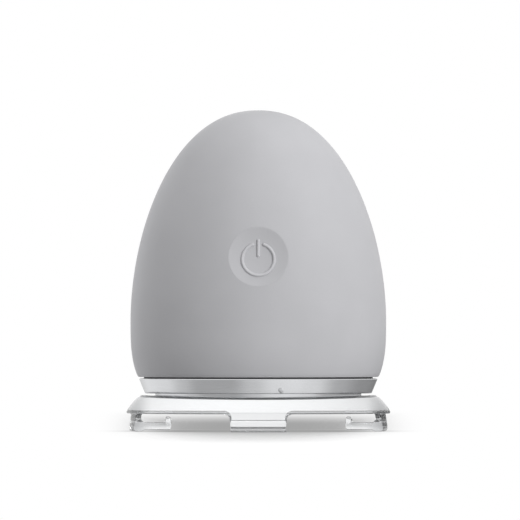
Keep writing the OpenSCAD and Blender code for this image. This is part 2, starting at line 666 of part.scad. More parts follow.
// Leads from the motor, up and past the chassis to the back of the board
lead_x = -(board_half - 0.7);
lead_z = true_z(board_y + board_t, post_low[1]) + 3.2;
lead_y = true_y(board_y + board_t + 0.15, (lead_z - button_z + (board_y + board_t)*sin(button_tilt))/cos(button_tilt));
module motor_leads() color("#2f5f9e") for (s = [-1, 1])
  wire([[motor_x0 - 1.7, motor_y + s*1.6, motor_z + 0.2], [motor_x0 - 1.7, motor_y + s*1.6, lead_z + s*0.6],
    [lead_x, motor_y + s*1.6, lead_z + s*0.6], [lead_x, lead_y + 0.1*s, lead_z + s*0.6]], 0.4);

// Charging board, its socket and the tongue in the socket
module charge_board() color("#2f6b46")
  translate([-charge_half, charge_y0, socket_board_z]) cube([2*charge_half, charge_y1 - charge_y0, board_t]);
module slot_bar(w, h, y0, y1) translate([0, y1, port_z]) rotate([90, 0, 0]) linear_extrude(y1 - y0) {
  square([w - h, h], center = true);
  for (s = [-1, 1]) translate([s*(w - h)/2, 0]) circle(d = h, $fn = hole_fn);
}
module usb_socket() color("#c4c6c9") difference() {
  slot_bar(port_w, port_h - 0.04, port_back, port_back + port_l);
  slot_bar(port_w - 0.7, port_h - 0.7, port_back + 0.35, port_back + port_l + 1);
}
module socket_tongue() color("#232426") {
  slot_bar(port_w - 0.8, port_h - 0.8, port_back + 0.4, port_back + 1.8);
  translate([-port_w*0.34, port_back + 1.7, port_z - 0.35]) cube([port_w*0.68, port_l - 2.7, 0.7]);
}

// Soft plug flush with the sleeve over the charging socket
module port_plug() color("#a9aaad") oval() {
  intersection() {
    difference() {
      egg(0, skin_low, 4, 16);
      egg(skin_t - 0.03, skin_low - 1, 4, 12);
    }
    y_slot(pad_w - 2*plug_gap, pad_h - 2*plug_gap, port_z, 8, body_w);
  }
  y_slot(port_w, port_h - 0.1, port_z, port_back + port_l + 0.15, egg_y(port_z, skin_t) + 0.3);
  y_block(-2.4, 2.4, egg_y(port_z, 0.6), egg_y(port_z, 0) + 0.6, port_z - pad_h/2 + 0.7, port_z - pad_h/2 + 1.5);
}

// Clear ring: a flared skirt with a dipped top, a bore for the probe head and four hooks
ring_top_r = band_low_r + ring_step;
ring_r = ring_top_r + ring_flare;
rim_z = rim_low + rim_lip;
bore_r = probe_r + ring_fit;
sag = max(0.02, ring_sag);
saddle_r = ring_top_r*ring_top_r/(2*sag);
function skirt_r(z) = let(s = (ring_top - z)/(ring_top - rim_z))
  ring_top_r + (ring_r - rim_bead - ring_top_r)*(0.55*s + 0.45*sin(90*s));
module saddle(down) translate([0, 0, ring_top - sag - down + saddle_r]) rotate([90, 0, 0])
  cylinder(r = saddle_r, h = 4*ring_r, center = true, $fn = 720);
function skirt_line(z0, z1, set_in, n) = [for (i = [0 : n]) let(z = z0 + (z1 - z0)*i/n) [skirt_r(z) - set_in, z]];
module ring_solid(set_in, z_end) rotate_extrude($fn = round_fn) polygon(concat([[bore_r, z_end], [bore_r, ring_top]],
  skirt_line(ring_top, z_end, set_in, set_in > 0 ? 3 : 6)));
module ring_band() difference() {
  union() {
    difference() {
      ring_solid(0, rim_z + 0.08);
      saddle(top_lip);
    }
    difference() {
      ring_solid(top_step, rim_z + 1.2);
      saddle(0);
    }
    rotate_extrude($fn = round_fn) polygon([[bore_r, rim_low + 1.5], [skirt_r(rim_z) - 0.4, rim_z + 0.3],
      [skirt_r(rim_z + 0.08), rim_z + 0.08], [ring_r - 0.02, rim_z - 0.04], [ring_r, rim_z - 0.4],
      [ring_r - 0.16, rim_low], [bore_r + ring_t, rim_low], [bore_r + ring_t, rim_low + 1.5]]);
  }
  difference() {
    rotate_extrude($fn = round_fn) polygon(concat([[bore_r + ring_t, rim_low - 1],
      [bore_r + ring_t, ring_top - ring_roof]], skirt_line(ring_top - ring_roof, rim_z, ring_t, 4),
      [[ring_r - ring_t - 0.2, rim_low - 1]]));
    saddle(ring_roof);
  }
}

// Section of a hook, from the rim down round its foot and in to the nib
hook_r = ring_r - hook_inset;
nib_r = hook_r + toe_flare - hook_reach;
module hook_section(out, toe, root) polygon(concat(
  [[out - hook_t, rim_low + root], [out, rim_low + root], [out, rim_low - 0.2]],
  [for (a = [0 : -22.5 : -90]) [toe - toe_round + toe_round*cos(a), toe_round + toe_round*sin(a)]],
  [[toe - toe_round - 0.8, 0], [toe - toe_round - 1.5, lip_low], [nib_r + 0.7, lip_low],
    [nib_r + 0.2, lip_low + 0.2], [nib_r, lip_low + 0.7], [nib_r, nib_top - 0.7],
    [nib_r + 0.2, nib_top - 0.2], [nib_r + 0.7, nib_top], [nib_r + nib_t - 0.45, nib_top - 0.1],
    [nib_r + nib_t, nib_top - 0.6], [nib_r + nib_t + 0.1, lip_top + 0.3], [nib_r + nib_t + 0.4, lip_top],
    [out - hook_t - 1, lip_top], [out - hook_t - 0.35, lip_top + 0.3], [out - hook_t, lip_top + 0.95]]));
module hook_window(stretch) rotate([90, 0, 0]) linear_extrude(2*ring_r)
  polygon([for (p = concat(
    [[hook_w/2 - hook_taper/2, -1], [hook_w/2, rim_low - hook_fillet]],
    [for (a = [157.5 : -22.5 : 90]) [hook_w/2 + hook_fillet + hook_fillet*cos(a), rim_low - hook_fillet + hook_fillet*sin(a)]],
    [[hook_w/2 + hook_fillet, rim_low + 3], [-hook_w/2 - hook_fillet, rim_low + 3]],
    [for (a = [90 : 22.5 : 157.5]) [-hook_w/2 - hook_fillet - hook_fillet*cos(a), rim_low - hook_fillet + hook_fillet*sin(a)]],
    [[-hook_w/2, rim_low - hook_fillet], [-hook_w/2 + hook_taper/2, -1]])) [p[0]*stretch, p[1]]]);
module pad_ring() color("#f3f5f6", 0.6) oval_pair() {
  ring_band();
  intersection() {
    rotate_extrude($fn = round_fn) hook_section(hook_r, hook_r + toe_flare, 1.3);
    for (a = [90, 270]) rotate(a) hook_window(1/plan_ratio);
  }
  intersection() {
    rotate_extrude($fn = round_fn) hook_section(ring_r - tab_inset, ring_r - tab_inset, 0.6);
    for (a = [0, 180]) rotate(a) hook_window(1);
  }
}

outer_sleeve();
power_button();
button_actuator();
switch_stem();
tact_switch();
main_board();
board_components();
status_leds();
board_screws();
inner_chassis();
chassis_screws();
battery_cell();
battery_foam();
battery_leads();
housing_front();
housing_rear();
housing_screws();
base_frame();
base_gasket();
electrode_band();
band_contact();
insulating_collar();
probe_plate();
heater_film();
pressure_foam();
probe_contact_pin();
vibration_motor();
motor_end_cap();
motor_mount();
motor_shaft();
eccentric_weight();
motor_leads();
charge_board();
usb_socket();
socket_tongue();
port_plug();
pad_ring();
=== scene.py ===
"""Facial cleansing device: soft egg-shaped grip, metal band, probe head and a clear ring with hooks."""
import json
import math
import bmesh
import bpy
from mathutils import Matrix, Vector


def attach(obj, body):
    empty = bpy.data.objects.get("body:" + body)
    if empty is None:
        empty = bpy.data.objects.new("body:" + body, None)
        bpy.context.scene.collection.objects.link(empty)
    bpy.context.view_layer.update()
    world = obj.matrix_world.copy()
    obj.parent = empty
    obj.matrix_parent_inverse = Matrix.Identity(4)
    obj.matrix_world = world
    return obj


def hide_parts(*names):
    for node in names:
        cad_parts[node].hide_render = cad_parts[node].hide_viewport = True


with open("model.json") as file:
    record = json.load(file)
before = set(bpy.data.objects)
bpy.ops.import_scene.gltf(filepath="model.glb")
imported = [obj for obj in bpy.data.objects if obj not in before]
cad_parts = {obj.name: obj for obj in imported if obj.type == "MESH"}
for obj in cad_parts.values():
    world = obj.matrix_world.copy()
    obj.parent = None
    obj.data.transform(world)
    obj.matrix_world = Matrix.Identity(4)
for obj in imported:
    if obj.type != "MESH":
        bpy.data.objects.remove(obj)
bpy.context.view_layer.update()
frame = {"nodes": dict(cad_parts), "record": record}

MM = 0.001

# Sizes of the part, in millimetres, as its CAD source has them, or within half a millimetre of it
# where the ring and the button were drawn closer to the real ones
BODY_W, PLAN_RATIO, BODY_TOP, WIDEST_Z = 62.0, 0.787, 77.8, 27.0
CROWN_POWER, SHOULDER_ROOT, LOWER_REACH, LOWER_POWER = 1.847, 2.197, 27.4, 3.195
SKIN_T = 1.4
BAND_LOW, BAND_TOP, BAND_T, BAND_BEVEL, BAND_RUN = 9.2, 12.8, 1.0, 0.2, 1.5
SKIN_LOW = BAND_TOP + 0.35
BUTTON_Z, CAP_R, CAP_GAP, DISH_DEPTH, CAP_T = 42.3, 7.3, 0.005, 0.6, 2.2
SIGN_R, SIGN_LINE, SIGN_RISE, SIGN_DROP, SIGN_OPENING = 3.85, 0.8, 0.38, 0.5, math.radians(42)
STROKE_L, STROKE_Z = 3.6, 2.25
DIMPLE_X, DIMPLE_Z, DIMPLE_R, DIMPLE_OUT, PIT_SHADE_R, PIT_SHADE_IN = 5.42, 9.98, 0.66, 0.35, 0.68, 0.16
PROBE_LOW, PROBE_CROWN, PROBE_ROUND, PROBE_T, PROBE_TOP = 5.2, 0.5, 1.6, 0.8, 12.35
RING_TOP, RING_SAG, RIM_LOW, RIM_Z = 8.78, 0.5, 4.3, 4.95
RING_T, RING_ROOF, TOP_LIP, TOP_STEP, RIM_BEAD = 1.2, 1.3, 0.5, 0.25, 0.12
HOOK_W, HOOK_TAPER, HOOK_FILLET, HOOK_T, HOOK_REACH = 13.74, 0.54, 1.3, 1.2, 10.2
LIP_TOP, LIP_LOW, NIB_TOP, NIB_T = 2.2, 0.4, 3.6, 1.75
TAB_X, TAB_Z = 8.3, 3.3  # centre of the rounded corners where the front and rear tabs leave the rim
PORT_Z, PORT_W, PORT_H, PORT_L, PORT_BACK = 28.6, 9.0, 3.2, 7.3, 15.0977
PAD_W, PAD_H, PLUG_GAP = PORT_W + 4.4, PORT_H + 4.4, 0.15


# Helpers

def half_width(z, inset=0.0):
    """Half of the width of the grip at a height, for its surface set in by inset."""
    wide, top = BODY_W/2 - inset, BODY_TOP - inset
    if z >= WIDEST_Z:
        share = min(1.0, (z - WIDEST_Z)/(top - WIDEST_Z))
        return wide*max(0.0, 1 - share**CROWN_POWER)**(1/SHOULDER_ROOT)
    return wide*math.sqrt(max(0.0, 1 - ((WIDEST_Z - z)/LOWER_REACH)**LOWER_POWER))


BAND_TOP_R = half_width(SKIN_LOW) - 0.2
BAND_LOW_R = BAND_TOP_R - BAND_RUN
SLOPE = BAND_RUN/(BAND_TOP - BAND_LOW)
PROBE_R = BAND_LOW_R - 2.45
RING_IN = PROBE_R + 0.8
RING_TOP_R = BAND_LOW_R + 1.2
RING_R = RING_TOP_R + 3.3
BORE_R = PROBE_R + 0.15


def rounded(points, radii, steps=4):
    """A closed outline whose corners are arcs, each of its own radius."""
    made = []
    for i, (corner, radius) in enumerate(zip(points, radii)):
        here = Vector(corner)
        back = Vector(points[i - 1]) - here
        ahead = Vector(points[(i + 1) % len(points)]) - here
        cosine = max(-1.0, min(1.0, back.normalized().dot(ahead.normalized())))
        half = math.acos(cosine)/2
        if radius <= 0 or half > math.radians(88) or half < math.radians(2):
            made.append(tuple(here))
            continue
        reach = min(radius/math.tan(half), 0.45*back.length, 0.45*ahead.length)
        radius = reach*math.tan(half)
        middle = here + (back.normalized() + ahead.normalized()).normalized()*(radius/math.sin(half))
        start = here + back.normalized()*reach - middle
        end = here + ahead.normalized()*reach - middle
        turn = start.angle_signed(end)
        for k in range(steps + 1):
            a = -turn*k/steps
            spoke = Vector((start.x*math.cos(a) - start.y*math.sin(a), start.x*math.sin(a) + start.y*math.cos(a)))
            made.append(tuple(middle + spoke))
    return made


def turned(points, steps=192, closed=True):
    """A mesh turned on the upright axis from (radius, height) points."""
    bm = bmesh.new()
    verts = [bm.verts.new((r, 0, z)) for r, z in points]
    pairs = list(zip(verts, verts[1:])) + ([(verts[-1], verts[0])] if closed else [])
    edges = [bm.edges.new(pair) for pair in pairs]
    bmesh.ops.spin(bm, geom=verts + edges, cent=(0, 0, 0), axis=(0, 0, 1), dvec=(0, 0, 0),
                   angle=2*math.pi, steps=steps, use_merge=True)
    bmesh.ops.remove_doubles(bm, verts=bm.verts, dist=1e-5)
    bmesh.ops.dissolve_degenerate(bm, edges=bm.edges, dist=1e-6)
    bmesh.ops.recalc_face_normals(bm, faces=bm.faces)
    return bm


def narrow(bm):
    """Narrows a round mesh front to back into the oval plan."""
    bmesh.ops.scale(bm, vec=(1, PLAN_RATIO, 1), verts=bm.verts)
    return bm


def stadium(width, height, y0, y1, steps=16):
    """A bar with round ends along Y, as wide and high as given, at the height of the port."""
    bm = bmesh.new()
    half = (width - height)/2
    outline = []
    for side in (1, -1):
        for k in range(steps + 1):
            a = math.pi/2 - math.pi*k/steps
            outline.append((side*(half + height/2*math.cos(a)), side*height/2*math.sin(a)))
    face = bm.faces.new([bm.verts.new((x, y0, PORT_Z + z)) for x, z in outline])
    out = bmesh.ops.extrude_face_region(bm, geom=[face])
    moved = [g for g in out["geom"] if isinstance(g, bmesh.types.BMVert)]
    bmesh.ops.translate(bm, vec=(0, y1 - y0, 0), verts=moved)
    bmesh.ops.recalc_face_normals(bm, faces=bm.faces)
    return bm


def as_object(name, bm):
    """An object in the scene from a finished bmesh."""
    mesh = bpy.data.meshes.new(name)
    bm.to_mesh(mesh)
    bm.free()
    obj = bpy.data.objects.new(name, mesh)
    bpy.context.scene.collection.objects.link(obj)
    return obj


def combined(obj, bm, operation):
    """Cuts, joins or keeps what obj shares with another closed mesh."""
    tool = as_object("tool", bm)
    step = obj.modifiers.new("Combine", "BOOLEAN")
    step.operation, step.solver, step.object = operation, "MANIFOLD", tool
    mesh = bpy.data.meshes.new_from_object(obj.evaluated_get(bpy.context.evaluated_depsgraph_get()))
    obj.modifiers.clear()
    obj.data = mesh
    bpy.data.objects.remove(tool)
    return obj


def finished(obj, material, body, slot, *nodes, sharp=35):
    """Turns millimetres to metres, smooths the shading, gives the piece its material, hangs it on its body and hides
    the CAD parts that it stands for.
    """
    bm = bmesh.new()
    bm.from_mesh(obj.data)
    bmesh.ops.remove_doubles(bm, verts=bm.verts, dist=0.002)
    bmesh.ops.dissolve_degenerate(bm, edges=bm.edges, dist=0.0005)
    bmesh.ops.recalc_face_normals(bm, faces=bm.faces)
    bm.to_mesh(obj.data)
    bm.free()
    obj.data.transform(Matrix.Scale(MM, 4))
    obj.data.materials.clear()
    obj.data.materials.append(material)
    obj.data.shade_smooth()
    obj.data.set_sharp_from_angle(angle=math.radians(sharp))
    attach(obj, body)
    if nodes:
        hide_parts(*nodes)
    return obj


# Camera

PICTURE = 520  # pixels across
PIXEL = 0.2425  # millimetres to a pixel at the middle of the device
DISTANCE = 4000.0
camera = bpy.data.objects.new("Camera", bpy.data.cameras.new("Camera"))
bpy.context.scene.collection.objects.link(camera)
bpy.context.scene.camera = camera
camera.data.sensor_width = 36
camera.data.lens = camera.data.sensor_width*DISTANCE/(PICTURE*PIXEL)
camera.data.clip_start, camera.data.clip_end = 0.05, 20
camera.location = (0.41*MM, -DISTANCE*MM, 41.5*MM)
camera.rotation_euler = (math.radians(90), 0, 0)


# Materials

def linear(code):
    """An sRGB hex colour as linear values."""
    parts = [int(code[i:i + 2], 16)/255 for i in (1, 3, 5)]
    return tuple(c/12.92 if c <= 0.04045 else ((c + 0.055)/1.055)**2.4 for c in parts) + (1.0,)


def add(tree, kind, settings=None, links=None):
    """A node with its settings and what feeds its sockets."""
    node = tree.nodes.new(kind)
    for key, value in (settings or {}).items():
        if isinstance(key, int) or key in node.inputs:
            node.inputs[key].default_value = value
        else:
            setattr(node, key, value)
    for key, source in (links or {}).items():
        tree.links.new(source, node.inputs[key])
    return node


def new_material(name):
    """A material with an empty node tree."""
    material = bpy.data.materials.new(name)
    material.use_nodes = True
    tree = material.node_tree
    tree.nodes.clear()
    return material, tree


def surface(name, light, dark, roughness, grain_mm, relief_mm, spread=0.06, stretch=(1, 1, 1), **shader):
    """A surface whose colour, gloss and relief vary with a grain of a real size."""
    material, tree = new_material(name)
    place = add(tree, "ShaderNodeTexCoord")
    mapped = add(tree, "ShaderNodeMapping", {"Scale": stretch}, {"Vector": place.outputs["Object"]})
    grain = add(tree, "ShaderNodeTexNoise", {"Scale": 1/(grain_mm*MM), "Detail": 3.0, "Roughness": 0.6},
                {"Vector": mapped.outputs[0]})
    patches = add(tree, "ShaderNodeTexNoise", {"Scale": 1/(14*MM), "Detail": 2.0},
                  {"Vector": place.outputs["Object"]})
    blend = add(tree, "ShaderNodeMath", {"operation": "MULTIPLY_ADD", 1: 0.5},
                {0: grain.outputs["Fac"], 2: patches.outputs["Fac"]})
    tone = add(tree, "ShaderNodeMapRange", {"From Min": 0.5, "From Max": 1.0}, {"Value": blend.outputs[0]})
    colour = add(tree, "ShaderNodeMix", {"data_type": "RGBA", 6: linear(dark), 7: linear(light)},
                 {0: tone.outputs[0]})
    gloss = add(tree, "ShaderNodeMapRange", {"To Min": roughness - spread, "To Max": roughness + spread},
                {"Value": grain.outputs["Fac"]})
    bump = add(tree, "ShaderNodeBump", {"Strength": 1.0, "Distance": relief_mm*MM},
               {"Height": grain.outputs["Fac"]})
    body = add(tree, "ShaderNodeBsdfPrincipled", shader,
               {"Base Color": colour.outputs[2], "Roughness": gloss.outputs[0], "Normal": bump.outputs[0]})
    add(tree, "ShaderNodeOutputMaterial", links={"Surface": body.outputs[0]}).is_active_output = True
    return material


# Soft-touch silicone rubber, moulded against a blasted tool: broad soft shine, no sharp highlight.
# Its real grain is about 0.05 mm; it is drawn at 0.3 mm so that it shows.
silicone = surface("soft_touch_silicone", "#B6B6B9", "#B1B1B4", 0.56, 0.3, 0.004,
                   IOR=1.41, **{"Sheen Weight": 0.12, "Sheen Roughness": 0.5})
# The raised sign: the cap's silicone painted lighter, a painted highlight along the line, with a crisper shine than
# the cap round it.
highlit_sign_silicone = surface("highlit_sign_material", "#BFBFC2", "#BBBBBE", 0.44, 0.3, 0.002, IOR=1.41)
# Satin-plated metal, brushed round the band: fine lines along the band that stretch reflections.
# Its real lines are about 0.05 mm apart; they are drawn at 0.25 mm so that they show.
satin_metal = surface("brushed_satin_metal", "#D8D9DB", "#CFD0D2", 0.2, 0.25, 0.0015, 0.05,
                      (0.02, 0.02, 1), Metallic=1.0)
# Stainless steel, drawn and polished: sharp, bright reflections.
polished_steel = surface("polished_steel", "#D6D7D9", "#CDCED1", 0.1, 1.5, 0.0006, 0.03, Metallic=1.0)
# Steel screws with zinc plating: dull shine, slightly mottled.
zinc_steel = surface("zinc_plated_steel", "#9C9EA1", "#85878A", 0.36, 0.4, 0.002, Metallic=1.0)
# Nickel-plated steel can of the motor: brighter and smoother than the screws.
nickel_steel = surface("nickel_plated_steel", "#C2C5C9", "#B4B7BB", 0.26, 0.6, 0.001, Metallic=1.0)
# Sintered heavy metal of the weight: dark, grainy and dull.
sintered_metal = surface("sintered_heavy_metal", "#83858A", "#6D6F73", 0.5, 0.25, 0.006, Metallic=1.0)
# Tinned brass spring strip: grey with a slight warm cast and a soft shine.
tinned_brass = surface("tinned_brass_spring", "#9A968C", "#8E8A80", 0.34, 0.5, 0.001, Metallic=1.0)
# Stamped and rolled steel cover of the switch: even grey, half dull.
stamped_steel = surface("stamped_steel_cover", "#A0A3A7", "#92959A", 0.34, 0.5, 0.0015, Metallic=1.0)
# Aluminium laminate pouch of the cell: soft shine with shallow ripples of about 1 mm.
cell_foil = surface("aluminium_laminate", "#AEB4BA", "#9CA2A9", 0.38, 1.2, 0.012, Metallic=0.9)
# Moulded ABS shells and frames: even and half dull, with a fine spark-eroded texture.
# Its real grain is about 0.1 mm; it is drawn at 0.25 mm so that it shows.
white_abs = surface("white_moulded_abs", "#E4E4E1", "#DCDCD8", 0.45, 0.25, 0.004, IOR=1.52)
grey_abs = surface("grey_moulded_abs", "#D0D1CF", "#C6C7C5", 0.45, 0.25, 0.004, IOR=1.52)
dark_abs = surface("dark_moulded_abs", "#3E3F42", "#36373A", 0.5, 0.25, 0.004, IOR=1.52)
# Grey sunk at the foot of the dimple: painted shade of the pit, a soft grey spot in the band.
pit_shade_grey = surface("painted_pit_shade", "#CBCCCE", "#C4C5C7", 0.4, 0.3, 0.001, IOR=1.5)
# Moulded black nylon of the sockets and chips: dark, with a soft shine.
black_plastic = surface("black_moulded_plastic", "#242528", "#1C1D1F", 0.42, 0.3, 0.003, IOR=1.5)
# Cast lamp resin: milky white and glossy.
lamp_resin = surface("lamp_resin", "#F2F2EA", "#ECECE2", 0.25, 0.5, 0.001, IOR=1.5)
# Glass-epoxy board under green solder mask: glossy, with a faint mottle from the weave.
board_green = surface("solder_mask_board", "#2F6B46", "#285E3C", 0.3, 0.35, 0.003, IOR=1.55)
# Polyimide film of the heater: amber, smooth and glossy.
amber_film = surface("polyimide_film", "#C98B3C", "#BC7D30", 0.24, 0.8, 0.001, IOR=1.7)
# Closed-cell foam: dark and quite matt, with open pores on its cut face.
black_foam = surface("closed_cell_foam", "#42434A", "#333439", 0.85, 0.35, 0.03, IOR=1.4)
# Moulded silicone seal: black, with a dull shine.
black_rubber = surface("black_silicone_seal", "#1E1F21", "#191A1B", 0.55, 0.3, 0.003, IOR=1.41)
# Extruded wire jackets: even colour and a waxy shine.
red_wire = surface("red_wire_jacket", "#B4382F", "#A83229", 0.4, 0.4, 0.002, IOR=1.5)
blue_wire = surface("blue_wire_jacket", "#3160A0", "#2B5794", 0.4, 0.4, 0.002, IOR=1.5)


def frosted_places(tree, parts, across, below_lip):
    """Where the ring is frosted: below its lip, but for a clear bead along the rim that turns down round the
    corners of the front and rear tabs, and clear stripes across those tabs."""
    corner = add(tree, "ShaderNodeMath", {"operation": "MINIMUM", 1: TAB_X*MM}, {0: across})
    spot = add(tree, "ShaderNodeCombineXYZ", links={"X": corner.outputs[0], "Z": parts.outputs["Z"]})
    off = add(tree, "ShaderNodeVectorMath", {"operation": "DISTANCE", 1: (TAB_X*MM, 0, TAB_Z*MM)},
              {0: spot.outputs[0]})
    past_bead = add(tree, "ShaderNodeMapRange", {"interpolation_type": "SMOOTHSTEP", "From Min": 1.72*MM,
                                                 "From Max": 1.96*MM}, {"Value": off.outputs["Value"]})
    # Heights in millimetres where each edge of a stripe starts and is full, and how much frost it has
    edges = {}
    for name, start, full, level in (("skirt", 2.86, 3.0, 1.0), ("bar_foot", 1.15, 1.4, 1.0),
                                     ("bar_top", 2.8, 2.66, 1.0), ("toe", 0.95, 0.8, 0.6)):
        edges[name] = add(tree, "ShaderNodeMapRange", {"From Min": start*MM, "From Max": full*MM, "To Max": level},
                          {"Value": parts.outputs["Z"]}).outputs[0]
    bar = add(tree, "ShaderNodeMath", {"operation": "MULTIPLY"}, {0: edges["bar_foot"], 1: edges["bar_top"]})
    lower = add(tree, "ShaderNodeMath", {"operation": "MAXIMUM"}, {0: bar.outputs[0], 1: edges["toe"]})
    stripes = add(tree, "ShaderNodeMath", {"operation": "MAXIMUM"}, {0: lower.outputs[0], 1: edges["skirt"]})
    # The side hooks stay clear
    high = add(tree, "ShaderNodeMath", {"operation": "GREATER_THAN", 1: TAB_Z*MM}, {0: parts.outputs["Z"]})
    middle = add(tree, "ShaderNodeMath", {"operation": "LESS_THAN", 1: (TAB_X + 0.1)*MM}, {0: across})
    place = add(tree, "ShaderNodeMath", {"operation": "MAXIMUM"}, {0: high.outputs[0], 1: middle.outputs[0]})
    frost = below_lip
    for mask in (past_bead, stripes, place):
        frost = add(tree, "ShaderNodeMath", {"operation": "MULTIPLY"}, {0: frost, 1: mask.outputs[0]}).outputs[0]
    return frost


def clear_polycarbonate():
    """Polished clear polycarbonate. The skirt is frosted inside and looks white; the hooks, the thin lip
    along its top and the bead along its rim stay clear and show as fine darker lines. The lip is also tinted
    grey, painted shade of the gap above the ring, and the ring's two ends are painted greyer, painted shade."""
    material, tree = new_material("clear_polycarbonate_frosted_skirt")
    place = add(tree, "ShaderNodeTexCoord")
    parts = add(tree, "ShaderNodeSeparateXYZ", links={0: place.outputs["Object"]})
    across = add(tree, "ShaderNodeMath", {"operation": "ABSOLUTE"}, {0: parts.outputs["X"]}).outputs[0]
    # Height above the foot of the lip, which dips towards the front and the rear
    squared = add(tree, "ShaderNodeMath", {"operation": "POWER", 1: 2.0}, {0: parts.outputs["X"]})
    dip = add(tree, "ShaderNodeMath", {"operation": "MULTIPLY_ADD", 1: -RING_SAG/(RING_TOP_R**2*MM),
                                       2: -(RING_TOP - RING_SAG - TOP_LIP)*MM}, {0: squared.outputs[0]})
    rise = add(tree, "ShaderNodeMath", {"operation": "ADD"}, {0: parts.outputs["Z"], 1: dip.outputs[0]})
    below_lip = add(tree, "ShaderNodeMapRange", {"From Min": -0.03*MM, "From Max": 0.03*MM,
                                                 "To Min": 1.0, "To Max": 0.0}, {"Value": rise.outputs[0]}).outputs[0]
    frost = frosted_places(tree, parts, across, below_lip)
    clear = add(tree, "ShaderNodeMapRange", {"To Min": 0.95, "To Max": 0.08}, {"Value": frost})
    # Towards the ring's two ends the skirt and the hooks' feet are painted greyer: painted shade on the ends
    end_shade_ramp = add(tree, "ShaderNodeMapRange", {"interpolation_type": "SMOOTHSTEP", "From Min": 25.5*MM,
                                             "From Max": 30*MM, "To Max": 0.5}, {"Value": across})
    skirt = add(tree, "ShaderNodeMath", {"operation": "GREATER_THAN", 1: TAB_Z*MM}, {0: parts.outputs["Z"]})
    feet = add(tree, "ShaderNodeMath", {"operation": "LESS_THAN", 1: 2.3*MM}, {0: parts.outputs["Z"]})
    end_shade_heights = add(tree, "ShaderNodeMath", {"operation": "MAXIMUM"}, {0: skirt.outputs[0], 1: feet.outputs[0]})
    ends = add(tree, "ShaderNodeMath", {"operation": "MULTIPLY"}, {0: end_shade_ramp.outputs[0], 1: end_shade_heights.outputs[0]})
    light = add(tree, "ShaderNodeMath", {"operation": "SUBTRACT"}, {0: below_lip, 1: ends.outputs[0]})
    # Painted shade: grey on the lip above its foot, for the shadowed gap above the ring, and on the two ends
    colour = add(tree, "ShaderNodeMix", {"data_type": "RGBA", 6: linear("#8E9093"), 7: linear("#FBFCFD")},
                 {0: light.outputs[0]})
    # A slow swirl from the melt's flow, of about 6 mm
    swirl = add(tree, "ShaderNodeTexNoise", {"Scale": 1/(6*MM), "Detail": 2.0}, {"Vector": place.outputs["Object"]})
    gloss = add(tree, "ShaderNodeMapRange", {"To Min": 0.04, "To Max": 0.1}, {"Value": swirl.outputs["Fac"]})
    bump = add(tree, "ShaderNodeBump", {"Distance": 0.01*MM}, {"Height": swirl.outputs["Fac"]})
    body = add(tree, "ShaderNodeBsdfPrincipled", {"IOR": 1.58},
               {"Base Color": colour.outputs[2], "Roughness": gloss.outputs[0], "Normal": bump.outputs[0],
                "Transmission Weight": clear.outputs[0]})
    add(tree, "ShaderNodeOutputMaterial", links={"Surface": body.outputs[0]}).is_active_output = True
    return material


clear_plastic = clear_polycarbonate()

FINISHES = {
    "grip_silicone": silicone, "button_silicone": silicone, "white_abs": white_abs, "grey_abs": grey_abs,
    "dark_abs": dark_abs, "black_plastic": black_plastic, "switch_metal": stamped_steel,
    "circuit_board": board_green, "lamp_resin": lamp_resin, "screw_steel": zinc_steel,
    "cell_foil": cell_foil, "black_foam": black_foam, "red_wire": red_wire, "blue_wire": blue_wire,
    "black_rubber": black_rubber, "satin_metal": satin_metal, "polished_metal": polished_steel,
    "brass_spring": tinned_brass, "amber_film": amber_film, "motor_steel": nickel_steel,
    "weight_metal": sintered_metal, "clear_plastic": clear_plastic,
}
for part in frame["record"]["subparts"]:
    node = frame["nodes"][part["node"]]
    node.data.materials.clear()
    node.data.materials.append(FINISHES[part["material_slot"]])


# Soft grip

def grip_line(inset, lower, upper):
    """Points up the grip's surface from its open foot to its crown."""
    top = BODY_TOP - inset
    heights = [SKIN_LOW + (WIDEST_Z - SKIN_LOW)*i/lower for i in range(lower)]
    line = [(half_width(z, inset), z) for z in heights]
    for i in range(upper + 1):
        z = WIDEST_Z + (top - WIDEST_Z)*math.sin(math.pi/2*i/upper)
        line.append((half_width(z, inset) if i < upper else 0.0, z))
    return line


def grip_shell():
    """The sleeve's whole wall, open at the foot, where its edge is rounded off."""
    outer = grip_line(0, 28, 72)
    inner = grip_line(SKIN_T, 12, 36)
    foot_r = outer[0][0]
    foot = [(foot_r - 0.3, SKIN_LOW), (foot_r - 0.1, SKIN_LOW + 0.06), (foot_r + 0.02, SKIN_LOW + 0.25)]
    return narrow(turned(inner[::-1] + foot + outer[1:], 224, closed=False))


TILT = math.atan((PLAN_RATIO*(half_width(BUTTON_Z - 5) - half_width(BUTTON_Z + 5)))/10)
BUTTON_Y = -PLAN_RATIO*half_width(BUTTON_Z)
BUTTON_FRAME = Matrix.Translation((0, BUTTON_Y, BUTTON_Z)) @ Matrix.Rotation(-TILT, 4, "X")
RIM_Y = PLAN_RATIO*(half_width(BUTTON_Z) - math.sqrt(half_width(BUTTON_Z)**2 - CAP_R**2))


def facing(bm):
    """Lays a mesh turned on the upright axis into the button's frame, its top outward."""
    bmesh.ops.transform(bm, matrix=BUTTON_FRAME @ Matrix.Rotation(math.radians(90), 4, "X"), verts=bm.verts)
    return bm


skin = as_object("grip_skin", grip_shell())
opening_r = CAP_R + CAP_GAP
combined(skin, facing(turned([(0, 4), (opening_r, 4), (opening_r, -8), (0, -8)], 192, closed=False)), "DIFFERENCE")
combined(skin, stadium(PAD_W, PAD_H, 8, 40), "DIFFERENCE")
finished(skin, silicone, "device", "grip_silicone", "outer_sleeve", sharp=40)


# Power button

